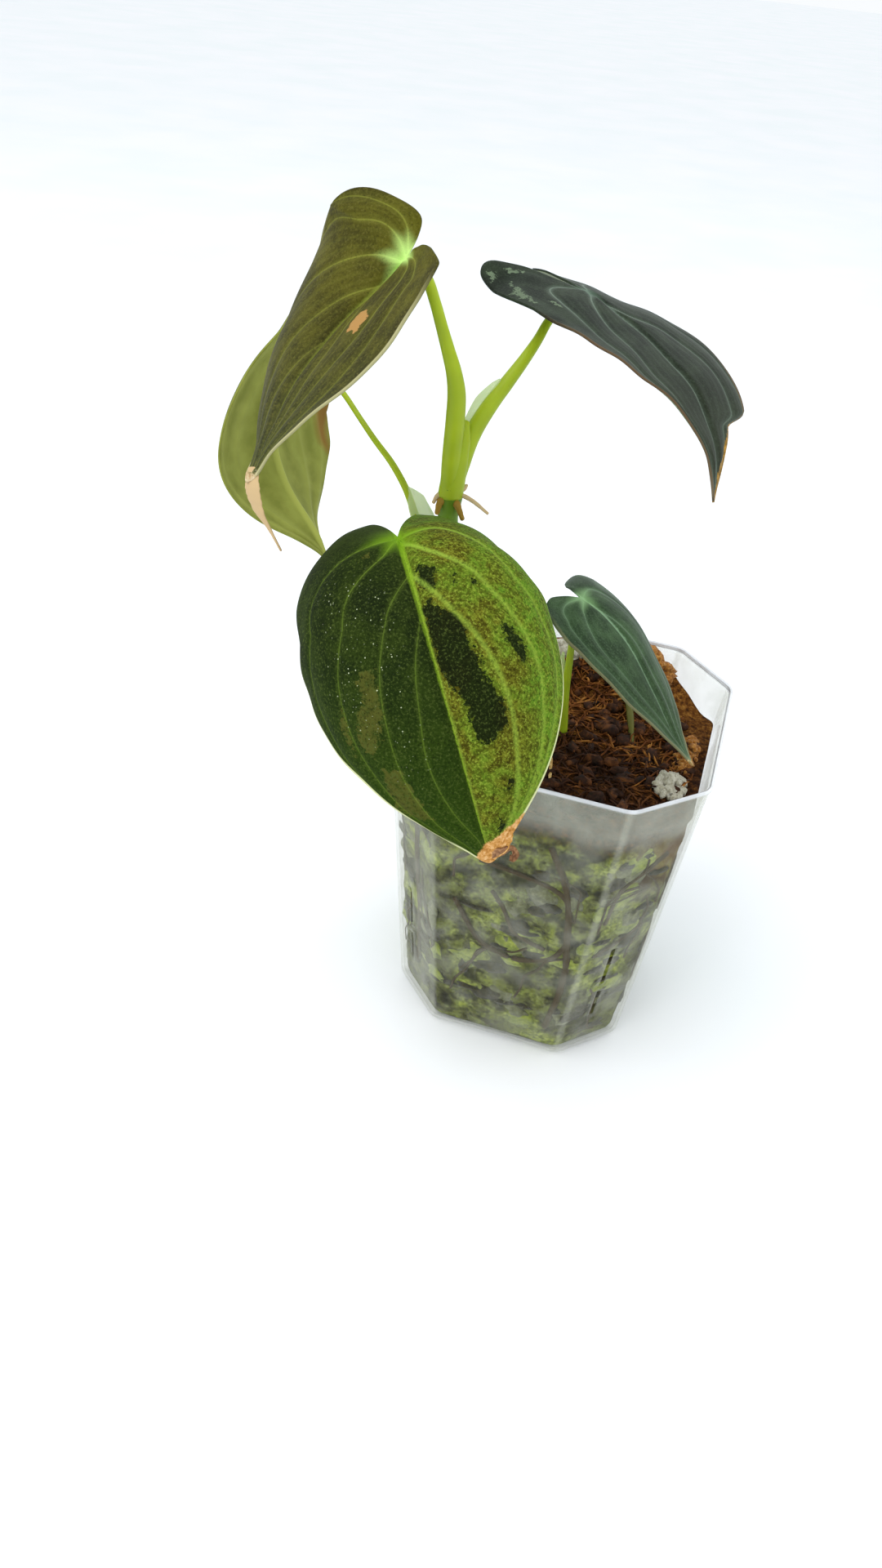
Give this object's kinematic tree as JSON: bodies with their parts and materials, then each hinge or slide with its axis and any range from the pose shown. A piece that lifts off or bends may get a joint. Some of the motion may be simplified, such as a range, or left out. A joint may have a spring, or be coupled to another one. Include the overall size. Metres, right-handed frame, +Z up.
{
  "type": "potted variegated philodendron",
  "caption": "Potted philodendron with waved heart-shaped leaves on a leaning stem and a young shoot, rooted in fibrous substrate inside a clear square slotted pot.",
  "frame": {"origin": "the middle of the pot's underside, where it rests", "axes": "+Z is up; -Y is the pot's front face, which the large variegated leaf hangs in front of; +X is to the right of that face"},
  "size_m": [0.1538, 0.1519, 0.2585],
  "materials": {
    "clear_plastic": "clear moulded polypropylene, slightly milky",
    "substrate": "damp fibrous bark and moss, matt",
    "pale_moss": "dry pale sphagnum moss",
    "dry_straw": "dry straw",
    "green_stem": "smooth fleshy green stem, satin",
    "olive_leaf": "velvety olive-bronze leaf with yellow-green veins",
    "slate_leaf": "velvety dark slate-green leaf",
    "sage_leaf": "sage-green leaf, paler underside",
    "variegated_leaf": "dark green leaf mottled with lime and bronze variegation",
    "blue_green_leaf": "young blue-green leaf with mint veins"
  },
  "bodies": {
    "root": {"pot": "clear_plastic", "substrate": "substrate", "moss_back": "pale_moss", "moss_right": "pale_moss", "straw": "dry_straw", "stem": "green_stem", "petiole_5": "green_stem", "leaf_1": "olive_leaf", "leaf_2": "slate_leaf", "leaf_3": "sage_leaf", "leaf_4": "variegated_leaf", "leaf_5": "blue_green_leaf"}
  },
  "joints": []
}
